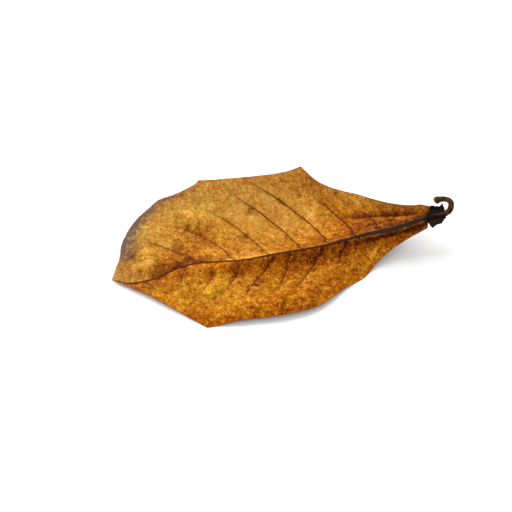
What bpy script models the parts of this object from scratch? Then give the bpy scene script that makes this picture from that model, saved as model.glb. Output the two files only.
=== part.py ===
"""Indian almond leaf, dry and curled, lying on a surface.

One grown piece: the blade with its cusped and torn margin, the midrib and side veins raised on both
faces, and the hooked leaf stalk. X runs along the leaf from its tip (-X) to its stalk (+X). The far
half, at +Y, curls up. The near half, at -Y, lies low. Z is up and the surface is at zero, and the
origin is there, under the middle of the leaf's box.
"""

import math

import bmesh
import bpy
import numpy as np
from mathutils import Matrix, Vector, noise

# Driving dimensions, in millimetres. The others are for a leaf DRAWN_LENGTH long and grow with it.
LEAF_LENGTH = 200.0
DRAWN_LENGTH = 200.0
BLADE_THICKNESS = 0.7
STALK_RADIUS = 1.2
MM = 0.001 * LEAF_LENGTH / DRAWN_LENGTH

# Midrib from the stalk to the tip: x, y, height
MIDRIB = (
    (95.5, 0.5, 22.5),
    (85.0, 2.0, 21.5),
    (65.0, 0.5, 18.0),
    (43.0, 0.0, 14.0),
    (26.0, 0.0, 11.0),
    (10.5, 0.0, 9.0),
    (-8.0, -0.5, 8.0),
    (-25.5, -1.0, 7.0),
    (-39.5, 0.5, 6.5),
    (-50.5, 2.0, 6.0),
    (-62.0, 1.0, 4.5),
    (-79.5, -3.5, 3.0),
    (-90.5, -3.5, 2.5),
    (-100.0, 1.5, 2.0),
)

# Margin of each half from the stalk to the tip: x, y, height, and whether it is a sharp corner.
# Below zero the leaf is pressed flat on the surface.
SMOOTH, CORNER = False, True
FAR_MARGIN = (
    (96.0, 3.0, 23.0, CORNER),
    (95.5, 8.0, 24.0, CORNER),
    (94.0, 6.0, 23.0, CORNER),
    (88.0, 7.5, 22.5, CORNER),
    (84.5, 11.0, 22.0, CORNER),
    (73.5, 13.5, 21.0, SMOOTH),
    (61.5, 19.5, 20.0, SMOOTH),
    (49.0, 27.0, 20.0, SMOOTH),
    (35.5, 34.0, 20.5, SMOOTH),
    (27.0, 42.0, 21.5, SMOOTH),
    (20.0, 52.0, 23.5, CORNER),
    (4.0, 53.0, 20.0, SMOOTH),
    (-13.0, 55.0, 18.0, SMOOTH),
    (-41.0, 57.5, 17.0, CORNER),
    (-44.0, 56.0, 15.0, CORNER),
    (-55.0, 53.5, 13.0, SMOOTH),
    (-66.5, 52.0, 10.5, SMOOTH),
    (-78.5, 46.5, 5.5, SMOOTH),
    (-85.0, 40.5, 2.0, SMOOTH),
    (-90.5, 31.5, -0.5, SMOOTH),
    (-94.5, 16.0, 1.0, SMOOTH),
    (-100.0, 1.5, 2.0, CORNER),
)
NEAR_MARGIN = (
    (95.0, -1.0, 22.5, CORNER),
    (92.0, -5.0, 21.0, CORNER),
    (86.5, -5.0, 20.0, CORNER),
    (85.0, -1.5, 21.0, CORNER),
    (83.5, -4.0, 19.0, CORNER),
    (71.0, -4.5, 12.0, SMOOTH),
    (60.5, -8.5, 6.5, SMOOTH),
    (52.5, -13.0, 2.5, SMOOTH),
    (44.5, -20.0, -0.5, CORNER),
    (32.5, -26.5, 1.5, SMOOTH),
    (12.5, -39.0, 3.0, SMOOTH),
    (-7.5, -42.5, 3.5, SMOOTH),
    (-30.0, -42.0, 3.0, SMOOTH),
    (-51.0, -41.5, -0.5, CORNER),
    (-63.5, -30.5, 2.0, SMOOTH),
    (-81.0, -14.5, 3.0, SMOOTH),
    (-100.0, 1.5, 2.0, CORNER),
)

# Where the torn corners at the base hang on the midrib: distance along the midrib, along the margin
FAR_BASE = ((0.0, 0.0), (2.2, 5.1), (4.0, 7.8), (9.0, 14.0), (12.0, 19.0))
NEAR_BASE = ((0.0, 0.0), (3.4, 5.2), (8.8, 10.8), (10.2, 14.6), (11.6, 18.1))

# Side veins: where each leaves the midrib and where it ends on the margin, as distances from the stalk
# along them, and how far its middle bows out towards the stalk
FAR_VEINS = (
    (30.0, 46.0, 3.0),
    (40.0, 68.0, 4.0),
    (55.0, 105.5, 8.0),
    (70.5, 132.0, 10.0),
    (85.5, 152.0, 9.0),
    (106.0, 178.0, 8.0),
    (125.0, 209.0, 9.0),
    (144.5, 221.5, 1.0),
    (158.5, 236.0, 0.0),
)
NEAR_VEINS = (
    (58.0, 88.0, -3.5),
    (73.0, 126.0, -2.0),
    (92.0, 138.0, 1.0),
    (104.5, 150.0, -1.0),
    (121.0, 172.5, 1.0),
    (136.0, 185.5, 3.0),
    (154.5, 199.0, 3.0),
    (172.0, 214.0, 5.0),
)
BOW_SKEW = 1.5

# What comes nearer to the surface than this lies flat on it
PRESSED = 0.1

# The margin's corners are felt only near it: further in, the columns aim at a margin averaged over this
# length each way
MARGIN_SOFTENING = 18.0
CORNER_FADE = 4

# Height of the blade a third and two thirds of the way from midrib to margin: distance along the
# midrib, inner height, outer height
FAR_SWELL = (
    (0.0, 22.5, 23.0),
    (10.0, 20.0, 19.5),
    (20.0, 17.0, 16.5),
    (30.0, 14.0, 14.5),
    (40.0, 10.5, 13.0),
    (55.0, 5.0, 11.0),
    (68.0, 1.5, 9.0),
    (78.0, -0.5, 8.5),
    (90.0, -0.5, 8.5),
    (106.0, 3.5, 9.0),
    (126.0, 5.5, 8.5),
    (146.0, 7.0, 6.5),
    (160.0, 7.0, 5.5),
    (180.0, 4.0, 3.0),
    (199.0, 2.0, 2.0),
)
NEAR_SWELL = (
    (0.0, 22.5, 22.5),
    (9.0, 21.0, 20.5),
    (20.0, 16.5, 14.0),
    (31.0, 11.5, 8.0),
    (43.0, 7.0, 3.0),
    (58.0, 4.5, 3.0),
    (73.0, 3.0, 4.0),
    (103.0, 2.5, 4.5),
    (117.0, 3.5, 3.5),
    (136.0, 5.0, 4.0),
    (154.0, 4.5, 4.0),
    (170.0, 3.0, 3.0),
    (199.0, 2.0, 2.0),
)

# Sharp fold beside the midrib: distance along it and how far the blade drops within the fold's width,
# which is never more than this share of the half. A negative drop is a rise.
FAR_FOLD = ((0.0, 0.0), (130.0, 0.0), (147.0, -2.5), (165.0, -3.0), (199.0, 0.0))
NEAR_FOLD = ((0.0, 0.0), (12.0, 0.5), (43.0, 4.5), (66.0, 6.5), (90.0, 5.5), (117.0, 3.2), (134.0, 0.0))
FAR_FOLD_WIDTH, NEAR_FOLD_WIDTH = 14.0, 8.0
FOLD_SHARE = 0.6

# Blisters between the veins, the fine waves of the dry blade, and one pillow below the midrib
BLISTER_HEIGHT = 0.5
WAVE_HEIGHT, WAVE_LENGTH = 0.5, 16.0
PILLOW_X, PILLOW_Y, PILLOW_HEIGHT, PILLOW_RADIUS = -30.0, -7.0, 1.5, 5.5

# Midrib section: distance along it, half width, rise on the upper face, keel on the lower face
RIB = (
    (0.0, 1.45, 0.7, 0.9),
    (20.0, 1.35, 0.8, 1.2),
    (40.0, 1.0, 0.65, 1.1),
    (60.0, 0.75, 0.5, 0.9),
    (110.0, 0.55, 0.35, 0.6),
    (160.0, 0.45, 0.25, 0.4),
    (200.0, 0.35, 0.1, 0.15),
)
RIB_SHOULDER = 0.6

# Relief of the side veins, and what is left of it at the margin
VEIN_HALF_WIDTH = 0.9
VEIN_RISE, VEIN_KEEL = 0.15, 0.4
VEIN_END = 0.15

# The blade's grid: rows between midrib and margin, how much closer they stand at both ends, and the
# widest gap between columns
ROWS_PER_HALF = 10
ROW_CROWDING = 0.3
WIDEST_COLUMN = 4.2

# Leaf stalk: centre line x, y, height and thickness as a share of the stalk's own
STALK = (
    (90.0, 1.5, 22.0, 0.55),
    (93.5, 1.0, 22.0, 0.8),
    (96.0, 1.5, 22.5, 1.0),
    (98.5, 2.5, 23.5, 1.0),
    (100.0, 3.5, 25.5, 0.95),
    (100.0, 4.5, 27.5, 0.95),
    (98.5, 5.0, 29.5, 0.95),
    (96.0, 6.5, 30.0, 1.0),
    (93.5, 7.0, 30.0, 1.1),
    (91.0, 7.5, 29.5, 1.25),
    (89.5, 7.0, 28.0, 1.25),
)
STALK_STEP = 1.1
WELD = 0.01

# Leathery brown with a faint gloss, as linear colour
LEAF_COLOUR = (0.48, 0.24, 0.05, 1.0)
LEAF_ROUGHNESS = 0.55


def slopes(stations, values):
    """Slope of a smooth line at each of its knots, from the stretches on either side."""
    gaps = np.diff(stations)[:, None]
    rises = np.diff(values, axis=0) / gaps
    inner = (rises[:-1] * gaps[1:] + rises[1:] * gaps[:-1]) / (gaps[1:] + gaps[:-1])
    return np.concatenate([rises[:1], inner, rises[-1:]])


def smooth(stations, values, at):
    """Values at these stations on a smooth line through the knots."""
    stations, values = np.asarray(stations, float), np.asarray(values, float)
    lean = slopes(stations, values)
    at = np.clip(np.atleast_1d(at), stations[0], stations[-1])
    first = np.clip(np.searchsorted(stations, at) - 1, 0, len(stations) - 2)
    gap = (stations[first + 1] - stations[first])[:, None]
    t = (at - stations[first])[:, None] / gap
    return (
        values[first] * (1 + 2 * t) * (1 - t) ** 2
        + values[first + 1] * t**2 * (3 - 2 * t)
        + (lean[first] * t * (1 - t) ** 2 - lean[first + 1] * t**2 * (1 - t)) * gap
    )


def profile(table, at):
    """The columns of a table of sections, smoothly between its rows: the first column is where."""
    return smooth([row[0] for row in table], [row[1:] for row in table], at).T


class Line:
    """A line in space through knots, read by distance along it; some knots are sharp corners."""

    def __init__(self, knots, corners=()):
        knots = np.asarray(knots, float)
        breaks = sorted({0, len(knots) - 1, *corners})
        parts = [self.stretch(knots[a : b + 1]) for a, b in zip(breaks, breaks[1:])]
        self.points = np.concatenate([parts[0][:1]] + [part[1:] for part in parts])
        steps = np.linalg.norm(np.diff(self.points[:, :3], axis=0), axis=1)
        self.along = np.concatenate([[0.0], np.cumsum(steps)])
        self.length = self.along[-1]
        ends = np.cumsum([0] + [len(part) - 1 for part in parts])
        self.corners = self.along[ends]

    @staticmethod
    def stretch(knots, fineness=24):
        """Closely spaced points on the smooth line through one stretch of knots."""
        gaps = np.linalg.norm(np.diff(knots[:, :3], axis=0), axis=1)
        stations = np.concatenate([[0.0], np.cumsum(gaps)])
        evenly = np.linspace(0, len(gaps), len(gaps) * fineness + 1)
        return smooth(stations, knots, np.interp(evenly, np.arange(len(stations)), stations))

    def at(self, distance):
        """The points at these distances."""
        return np.stack([np.interp(distance, self.along, column) for column in self.points.T], -1)


def margin_line(margin):
    """The line of one half's margin."""
    corners = [i for i, knot in enumerate(margin) if knot[3]]
    return Line([knot[:3] for knot in margin], corners)


def softened(line, distances, samples=13):
    """The line averaged on both sides of these distances, less and less towards its ends."""
    window = np.minimum(MARGIN_SOFTENING, np.minimum(distances, line.length - distances))
    return np.mean([line.at(distances + window * part) for part in np.linspace(-1, 1, samples)], axis=0)


def bow_shape(share):
    """How a vein bows: 0 at both ends, 1 at its peak, which lies nearer the midrib."""
    peak = 1 / (1 + BOW_SKEW)
    return share * (1 - share) ** BOW_SKEW / (peak * (1 - peak) ** BOW_SKEW)


def through_four(heights, share):
    """The height on a cubic through four heights that are evenly spaced from 0 to 1."""
    nodes = (0.0, 1 / 3, 2 / 3, 1.0)
    total = 0.0
    for i, node in enumerate(nodes):
        weight = 1.0
        for other in nodes[:i] + nodes[i + 1 :]:
            weight *= (share - other) / (node - other)
        total = total + heights[i] * weight
    return total


class Half:
    """One half of the blade. Its columns run out from the midrib to the margin, as its veins do."""

    def __init__(self, side, midrib, margin, base, veins, swell, fold, fold_width):
        self.side = side
        self.midrib = midrib
        self.margin = margin_line(margin)
        self.veins = [vein[0] for vein in veins]
        pairs = [(*pair, 0.0) for pair in base] + list(veins)
        pairs.append((midrib.length, self.margin.length, 0.0))
        self.feet, self.rims, self.bows = (np.array(column) for column in zip(*pairs))
        self.swell = swell
        self.fold = np.array(fold)
        self.fold_width = fold_width

    def corner_columns(self):
        """Where on the midrib the columns stand that end in the margin's corners."""
        return np.interp(self.margin.corners, self.rims, self.feet)

    def blister(self, stations):
        """0 on a vein to 1 midway between two veins."""
        stops = np.concatenate([[0.0], self.veins, [self.midrib.length]])
        phase = np.interp(stations, stops, np.arange(len(stops)))
        return np.sin(np.pi * (phase % 1.0)) ** 2

    def foot(self, stations, step=0.5):
        """The points at the side of the midrib from which the columns start."""
        ahead = self.midrib.at(stations + step)[:, :2] - self.midrib.at(stations - step)[:, :2]
        ahead /= np.linalg.norm(ahead, axis=1)[:, None]
        half_width = profile(RIB, stations)[0]
        foot = self.midrib.at(stations)
        foot[:, 0] += ahead[:, 1] * half_width * self.side
        foot[:, 1] -= ahead[:, 0] * half_width * self.side
        return foot

    def sheet(self, stations, shares):
        """Middle of the blade's thickness: a grid of points, a row for each share of the way out."""
        foot = self.foot(stations)
        distances = np.interp(stations, self.feet, self.rims)
        rim, soft_rim = self.margin.at(distances), softened(self.margin, distances)
        out = rim[:, :2] - foot[:, :2]
        reach = np.maximum(np.linalg.norm(out, axis=1), 1e-6)
        towards_stalk = np.stack([out[:, 1], -out[:, 0]], -1) / reach[:, None] * self.side
        bow = np.interp(stations, self.feet, self.bows)[:, None] * towards_stalk
        drop = np.interp(stations, self.fold[:, 0], self.fold[:, 1])
        width = np.minimum(self.fold_width, FOLD_SHARE * reach)
        heights = (foot[:, 2] - drop, *profile(self.swell, stations), rim[:, 2])
        blister = BLISTER_HEIGHT * self.blister(stations)
        rows = []
        for share in shares:
            row = foot * (1 - share) + soft_rim * share + (rim - soft_rim) * share**CORNER_FADE
            row[:, :2] += bow * bow_shape(share)
            row[:, 2] = through_four(heights, share)
            row[:, 2] += drop * np.maximum(0.0, 1 - share * reach / width) ** 2
            row[:, 2] += blister * 4 * share * (1 - share)
            rows.append(row)
        return np.stack(rows)


def row_shares():
    """How far out each row lies from the midrib's foot to the margin."""
    even = np.arange(ROWS_PER_HALF + 1) / ROWS_PER_HALF
    crowded = (1 - np.cos(np.pi * even)) / 2
    return even * (1 - ROW_CROWDING) + crowded * ROW_CROWDING


def column_stations(halves, midrib):
    """Distances along the midrib of all columns: veins with their feet, corners, and fillers."""
    fixed = {0.0, midrib.length}
    for half in halves:
        fixed.update(half.corner_columns())
        for vein in half.veins:
            fixed.update((vein - VEIN_HALF_WIDTH, vein, vein + VEIN_HALF_WIDTH))
    kept = [0.0]
    for station in sorted(fixed)[1:]:
        pieces = max(1, math.ceil((station - kept[-1]) / WIDEST_COLUMN))
        kept.extend(np.linspace(kept[-1], station, pieces + 1)[1:])
    return np.array(kept)


def vein_crest(stations, half):
    """1 on the crest of a vein of this half, 0 from its feet outwards."""
    gaps = np.abs(stations[:, None] - np.array(half.veins)[None])
    return np.clip(1 - gaps.min(axis=1) / VEIN_HALF_WIDTH, 0, 1)


def unevenness(place):
    """What the dry blade's waves and its pillow add to the height at this place."""
    x, y, z = place
    wave = WAVE_HEIGHT * noise.noise(Vector((x, y, z)) / WAVE_LENGTH)
    off = math.hypot(x - PILLOW_X, y - PILLOW_Y) / PILLOW_RADIUS
    return wave + PILLOW_HEIGHT * math.exp(-(off**2))


class Blade:
    """The whole blade as a grid: rows from the near margin over the midrib to the far margin."""

    def __init__(self):
        self.midrib = Line(MIDRIB)
        self.far = Half(
            1, self.midrib, FAR_MARGIN, FAR_BASE, FAR_VEINS, FAR_SWELL, FAR_FOLD, FAR_FOLD_WIDTH
        )
        self.near = Half(
            -1, self.midrib, NEAR_MARGIN, NEAR_BASE, NEAR_VEINS, NEAR_SWELL, NEAR_FOLD, NEAR_FOLD_WIDTH
        )
        self.stations = column_stations((self.far, self.near), self.midrib)
        self.shares = row_shares()
        self.middle = self.middle_sheet()
        self.rise, self.keel = self.reliefs()

    def middle_sheet(self):
        """Points midway through the blade's thickness, row by row, pressed flat on the surface."""
        far = self.far.sheet(self.stations, self.shares)
        near = self.near.sheet(self.stations, self.shares)
        crest = self.midrib.at(self.stations)
        shoulders = [crest * (1 - RIB_SHOULDER) + half[0] * RIB_SHOULDER for half in (near, far)]
        sheet = np.stack([*near[::-1], shoulders[0], crest, shoulders[1], *far])
        sheet[:, :, 2] += np.apply_along_axis(unevenness, 2, sheet)
        sheet[:, :, 2] = np.maximum(sheet[:, :, 2], BLADE_THICKNESS / 2)
        return sheet

    def reliefs(self):
        """How far midrib and veins stand out of the upper and of the lower face, row by row."""
        fade = 1 - (1 - VEIN_END) * self.shares[:, None]
        near = fade * vein_crest(self.stations, self.near)
        far = fade * vein_crest(self.stations, self.far)
        round_off = math.sqrt(1 - RIB_SHOULDER**2)
        _, rise, keel = profile(RIB, self.stations)
        return [
            np.stack([*vein * near[::-1], round_off * rib, rib, round_off * rib, *vein * far])
            for vein, rib in ((VEIN_RISE, rise), (VEIN_KEEL, keel))
        ]


def new_object(name, data):
    """A new object in the scene with this mesh or curve."""
    thing = bpy.data.objects.new(name, data)
    bpy.context.collection.objects.link(thing)
    return thing


def middle_surface(blade):
    """The middle sheet as a bmesh of triangles facing up, closed to a point at the tip."""
    rows, columns = blade.middle.shape[:2]
    middle = blade.middle.reshape(-1, 3)
    bm = bmesh.new()
    bmesh.ops.create_grid(bm, x_segments=columns - 1, y_segments=rows - 1, size=0.5)
    number = bm.verts.layers.int.new("number")
    for vert in bm.verts:
        column = round((vert.co.x + 0.5) * (columns - 1))
        row = round((vert.co.y + 0.5) * (rows - 1))
        vert[number] = row * columns + column
        vert.co = Vector(middle[vert[number]])
    tip = [vert for vert in bm.verts if vert[number] % columns == columns - 1]
    bmesh.ops.pointmerge(bm, verts=tip, merge_co=Vector(middle[-1]))
    bmesh.ops.triangulate(bm, faces=bm.faces, quad_method="BEAUTY")
    bmesh.ops.recalc_face_normals(bm, faces=bm.faces)
    if sum(face.normal.z for face in bm.faces) < 0:
        bmesh.ops.reverse_faces(bm, faces=bm.faces)
    bm.normal_update()
    return bm, number


def blade_mesh(blade):
    """The closed shell of the blade: the middle sheet doubled and its two copies moved apart."""
    bm, number = middle_surface(blade)
    normals = {vert[number]: vert.normal.copy() for vert in bm.verts}
    made = bmesh.ops.extrude_face_region(bm, geom=bm.faces[:], use_keep_orig=True)
    upper = {item for item in made["geom"] if isinstance(item, bmesh.types.BMVert)}
    rise, keel = blade.rise.ravel(), blade.keel.ravel()
    for vert in bm.verts:
        place = vert[number]
        if vert in upper:
            vert.co += normals[place] * (BLADE_THICKNESS / 2 + rise[place])
        else:
            vert.co -= normals[place] * (BLADE_THICKNESS / 2 + keel[place])
            vert.co.z = vert.co.z if vert.co.z > PRESSED else 0.0
    bmesh.ops.recalc_face_normals(bm, faces=bm.faces)
    bmesh.ops.scale(bm, vec=Vector((MM, MM, MM)), verts=bm.verts)
    mesh = bpy.data.meshes.new("leaf")
    bm.to_mesh(mesh)
    bm.free()
    return mesh


def stalk_curve():
    """The hooked stalk as a bevelled curve that starts inside the midrib and ends in its swollen foot."""
    route = Line(STALK)
    count = math.ceil(route.length / STALK_STEP)
    curve = bpy.data.curves.new("stalk", "CURVE")
    curve.dimensions = "3D"
    curve.bevel_depth = STALK_RADIUS * MM
    curve.bevel_resolution = 3
    curve.use_fill_caps = True
    spline = curve.splines.new("POLY")
    spline.points.add(count)
    points = route.at(np.linspace(0, route.length, count + 1))
    for point, (x, y, z, share) in zip(spline.points, points):
        point.co = (x * MM, y * MM, z * MM, 1.0)
        point.radius = share
    return curve


def stalk_mesh():
    """The stalk as a closed mesh, its end caps welded on."""
    tube = new_object("stalk", stalk_curve())
    mesh = bpy.data.meshes.new_from_object(tube.evaluated_get(bpy.context.evaluated_depsgraph_get()))
    bpy.data.objects.remove(tube)
    bm = bmesh.new()
    bm.from_mesh(mesh)
    bmesh.ops.remove_doubles(bm, verts=bm.verts, dist=WELD * MM)
    bm.to_mesh(mesh)
    bm.free()
    return mesh


def fuse(body, tool):
    """Joins the tool to the body's mesh and removes it."""
    union = body.modifiers.new("union", "BOOLEAN")
    union.operation = "UNION"
    union.object = tool
    union.solver = "MANIFOLD"
    joined = body.evaluated_get(bpy.context.evaluated_depsgraph_get())
    mesh = bpy.data.meshes.new_from_object(joined)
    body.modifiers.clear()
    body.data = mesh
    bpy.data.objects.remove(tool)


def centre(mesh):
    """Moves the mesh sideways until the middle of its box is over the origin."""
    places = np.array([vert.co for vert in mesh.vertices])
    middle = (places.min(axis=0) + places.max(axis=0)) / 2
    mesh.transform(Matrix.Translation((-middle[0], -middle[1], 0.0)))


def dried_leaf_material():
    """Dry leaf, leathery and faintly glossy."""
    material = bpy.data.materials.new("dried_leaf")
    material.use_nodes = True
    shader = material.node_tree.nodes["Principled BSDF"]
    shader.inputs["Base Color"].default_value = LEAF_COLOUR
    shader.inputs["Roughness"].default_value = LEAF_ROUGHNESS
    shader.inputs["Metallic"].default_value = 0.0
    return material


def main():
    for thing in list(bpy.data.objects):
        bpy.data.objects.remove(thing)
    leaf = new_object("leaf", blade_mesh(Blade()))
    fuse(leaf, new_object("stalk", stalk_mesh()))
    centre(leaf.data)
    leaf.data.materials.clear()
    leaf.data.materials.append(dried_leaf_material())


main()
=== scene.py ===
"""A dry, curled indian almond leaf on a pale table, seen from above.

The blade and the leaf stalk are made finely here and stand in for the solid leaf. Their sizes are named as
the solid's are, and some are nearer to the real leaf. They are in millimetres in the leaf's drawn frame: X
runs from its tip to its stalk, Y towards the far half, which curls up, and Z up. The finished pieces are
moved so that the middle of their box is where the solid's is.
"""

import math

import bmesh
import bpy
import numpy as np
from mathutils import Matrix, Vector, noise


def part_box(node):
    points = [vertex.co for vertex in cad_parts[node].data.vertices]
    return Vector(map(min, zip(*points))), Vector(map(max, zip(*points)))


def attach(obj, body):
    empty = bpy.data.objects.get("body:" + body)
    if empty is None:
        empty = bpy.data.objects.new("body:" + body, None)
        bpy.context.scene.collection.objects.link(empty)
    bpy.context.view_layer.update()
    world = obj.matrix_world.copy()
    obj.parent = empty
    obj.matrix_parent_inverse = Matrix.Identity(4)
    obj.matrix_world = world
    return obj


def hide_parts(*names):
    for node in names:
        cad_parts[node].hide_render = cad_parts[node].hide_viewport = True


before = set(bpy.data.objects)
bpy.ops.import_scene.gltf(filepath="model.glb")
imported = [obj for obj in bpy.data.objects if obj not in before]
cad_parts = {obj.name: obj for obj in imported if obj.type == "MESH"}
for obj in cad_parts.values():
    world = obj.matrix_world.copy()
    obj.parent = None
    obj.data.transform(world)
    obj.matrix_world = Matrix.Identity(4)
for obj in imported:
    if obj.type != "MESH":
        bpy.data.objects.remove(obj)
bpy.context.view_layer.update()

MM = 0.001

# Midrib from the stalk to the tip: x, y, height
MIDRIB = (
    (95.5, 0, 22.5),
    (85, 0, 21.5),
    (65, -1.7, 18),
    (43, -0.6, 14),
    (26, -1.1, 11),
    (10.5, -0.4, 9),
    (-8, -0.5, 8),
    (-25.5, -1, 7),
    (-39.5, 0.5, 6.5),
    (-50.5, 2, 6),
    (-62, 1, 4.5),
    (-79.5, -3.5, 3),
    (-90.5, -3.5, 2.5),
    (-100, 1.5, 2),
)

# Margin of each half from the stalk to the tip: x, y, height, and whether it is a sharp corner.
# Below zero the leaf is pressed flat on the table.
SMOOTH, CORNER = False, True
FAR_MARGIN = (
    (96, 3, 23, CORNER),
    (95.5, 8, 24, CORNER),
    (94, 6.8, 23, CORNER),
    (88, 8.6, 22.5, CORNER),
    (84.5, 11, 22, CORNER),
    (73.5, 13.5, 21, SMOOTH),
    (61.5, 19.8, 20, SMOOTH),
    (49, 27.6, 20, SMOOTH),
    (35.5, 35.2, 20.5, SMOOTH),
    (27, 42.5, 21.5, SMOOTH),
    (20, 52.4, 24, CORNER),
    (12, 52.1, 21.6, SMOOTH),
    (4, 53, 20, SMOOTH),
    (-13, 55, 18, SMOOTH),
    (-41, 58, 17, CORNER),
    (-44, 56.6, 15, CORNER),
    (-55, 53.2, 13, SMOOTH),
    (-66.5, 52, 10.5, CORNER),
    (-78.5, 45.2, 5.5, SMOOTH),
    (-85, 40.5, 2, SMOOTH),
    (-90.5, 31.5, -0.5, SMOOTH),
    (-94.5, 16, 1, SMOOTH),
    (-100, 1.5, 2, CORNER),
)
NEAR_MARGIN = (
    (95, -2.2, 22.5, CORNER),
    (92, -5, 21, CORNER),
    (86.1, -6, 20, CORNER),
    (85.1, -2.05, 21, CORNER),
    (84.6, -2.05, 21, CORNER),
    (83.6, -4.8, 19, CORNER),
    (71, -5.8, 12, SMOOTH),
    (60.5, -8.8, 6.5, SMOOTH),
    (52.5, -13, 2.5, SMOOTH),
    (44.5, -20, -0.5, CORNER),
    (32.5, -26.5, 1.5, SMOOTH),
    (12.5, -39, 3, SMOOTH),
    (-7.5, -42.5, 3.5, SMOOTH),
    (-30, -42, 3, SMOOTH),
    (-51, -41.5, -0.5, CORNER),
    (-63.5, -30.5, 2, SMOOTH),
    (-81, -14.5, 3, SMOOTH),
    (-100, 1.5, 2, CORNER),
)

# Where the torn corners at the base hang on the midrib: distance along the midrib, along the margin
FAR_BASE = ((0.0, 0.0), (2.2, 5.1), (4.0, 7.8), (9.0, 14.0), (12.0, 19.0))
NEAR_BASE = ((0.0, 0.0), (3.4, 4.4), (8.8, 10.4), (10.0, 14.6), (10.9, 15.1), (12.2, 18.7))

# Side veins: where each leaves the midrib and where it ends on the margin, as distances from the stalk
# along them, how far its middle bows out towards the stalk, how dark its line is, and the share of the
# way out over which it stays so
FAR_VEINS = (
    (29.5, 46, 3, 0.6, 0.9),
    (37.4, 66, 4, 0.85, 0.8),
    (52.8, 105.5, 8, 0.95, 0.8),
    (68.8, 132, 10, 0.9, 1.1),
    (84.2, 152, 9, 0.85, 0.95),
    (104.5, 178, 8, 0.8, 0.85),
    (124.5, 209, 9, 0.75, 0.8),
    (144.5, 221.5, 1, 0.65, 0.95),
    (158.5, 236, 0, 0.4, 0.9),
)
NEAR_VEINS = (
    (58, 88, -3.5, 0.85, 0.6),
    (73, 125, -2, 0.85, 0.75),
    (92, 138, 1, 0.75, 0.8),
    (101, 150, -4.5, 0.65, 0.85),
    (120.5, 172.5, 1, 0.65, 0.7),
    (136, 185.5, 3, 0.6, 0.8),
    (154.5, 199, 3, 0.5, 0.8),
    (172, 210, 5, 0.35, 0.8),
)
# How much nearer the midrib than the margin they bow most, as a power
BOW_SKEW = 1.5
# Where the half is narrower than this, they bow less
BOW_REACH = 25.0
# A column that runs beside the hollow of the far margin: it leaves, ends and bows as a vein would
FAR_GUIDES = ((46.0, 85.0, 2.0),)

# What comes nearer to the table than this lies flat on it
PRESSED = 0.1

# The margin's corners are felt only near it: further in, the columns aim at a margin averaged over this
# length each way, but over no more than this share of the half's breadth. The corners come in with this
# power of the way out.
MARGIN_SOFTENING = 18.0
SOFTENED_SHARE = 0.5
CORNER_FADE = 4

# Height of the blade a third and two thirds of the way from midrib to margin: distance along the
# midrib, inner height, outer height
FAR_SWELL = (
    (0, 22.5, 23),
    (10, 20, 19.5),
    (20, 17, 16.5),
    (30, 14, 14.5),
    (40, 10.5, 13),
    (55, 5, 11),
    (68, 1.5, 9),
    (78, -0.5, 8.5),
    (90, -0.5, 8.5),
    (106, 3.5, 9),
    (126, 5.5, 8.5),
    (146, 7, 6.5),
    (160, 7, 5.5),
    (180, 4, 3),
    (199, 2, 2),
)
NEAR_SWELL = (
    (0, 22.5, 22.5),
    (9, 21, 20.5),
    (20, 16.5, 14),
    (31, 11.5, 8),
    (43, 7, 3),
    (58, 4.5, 3),
    (73, 3, 4),
    (103, 2.5, 4.5),
    (117, 3.5, 3.5),
    (136, 5, 4),
    (154, 4.5, 4),
    (170, 3, 3),
    (199, 2, 2),
)

# Sharp fold beside the midrib: distance along it and how far the blade drops within the fold's width,
# which is never more than this share of the half. A negative drop is a rise.
FAR_FOLD = ((0.0, 0.0), (132.0, 0.0), (147.0, -3.8), (165.0, -4.2), (180.0, -2.0), (199.0, 0.0))
NEAR_FOLD = ((0.0, 0.0), (12.0, 0.5), (43.0, 4.5), (66.0, 6.5), (90.0, 5.5), (117.0, 3.2), (134.0, 0.0))
FAR_FOLD_WIDTH, NEAR_FOLD_WIDTH = 14.0, 8.0
FOLD_SHARE = 0.6

# Blisters between the veins, and the waves of the dry blade from broad to fine (height, length)
BLISTER_HEIGHT = 0.6
WAVES = ((0.5, 16.0), (0.16, 6.0), (0.08, 2.4))

# Bulges and dents of the dry blade: x, y, how far each reaches along and across, how far its long side is
# turned from X in degrees, and its height
DENTS = (
    (-46, 33.5, 14, 5.5, -12, 2.2),
    (-44, 14.5, 9, 5.5, -15, -1.5),
    (-70, 25, 8, 6, 20, 1.3),
    (-40, 5, 9, 3.2, -8, 1),
    (-76.5, 8, 3.5, 9, 12, 1.6),
    (-73, -0.5, 6, 3.5, -25, -1.1),
    (-85, 16, 4, 7, 20, -0.7),
    (-36, -3.6, 6.5, 3.2, -5, 1.3),
    (-40, -8.5, 11, 3, -8, -1),
)

# Pleats that run along the midrib at the base: side, where each starts and ends along the midrib, how far
# out it lies there, its height, its width and how much browner it is: painted shade in a crease, and where
# negative, painted light on a ridge. It rises over the first of these shares of its length and fades away
# after the second.
PLEAT_RISE, PLEAT_FADE = 0.2, 0.6
PLEATS = (
    (1, 8, 56, 4.8, 25.9, -2.4, 1.6, 0.55),
    (1, 8, 52, 2.6, 7.2, 1.1, 1.5, -0.2),
    (-1, 10, 62, 0.5, 0.8, -0.8, 0.8, 0.45),
)

# Midrib section: distance along it, half width, rise on the upper face, keel on the lower face
RIB = (
    (0, 1.55, 0.9, 0.9),
    (20, 1.9, 1.2, 1.2),
    (40, 1.75, 1.05, 1.1),
    (60, 1.2, 0.75, 0.9),
    (110, 0.7, 0.4, 0.6),
    (160, 0.6, 0.3, 0.4),
    (190, 0.45, 0.15, 0.2),
    (199, 0.08, 0.03, 0.05),
)
RIB_ROWS = 7
# What is written on the midrib itself: half way between two veins, which are far apart and have no line,
# and far from the margin
ON_RIB_VEINS, ON_RIB_TO_RIM = (0.5, 9.0, 0.0), 9.0

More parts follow.
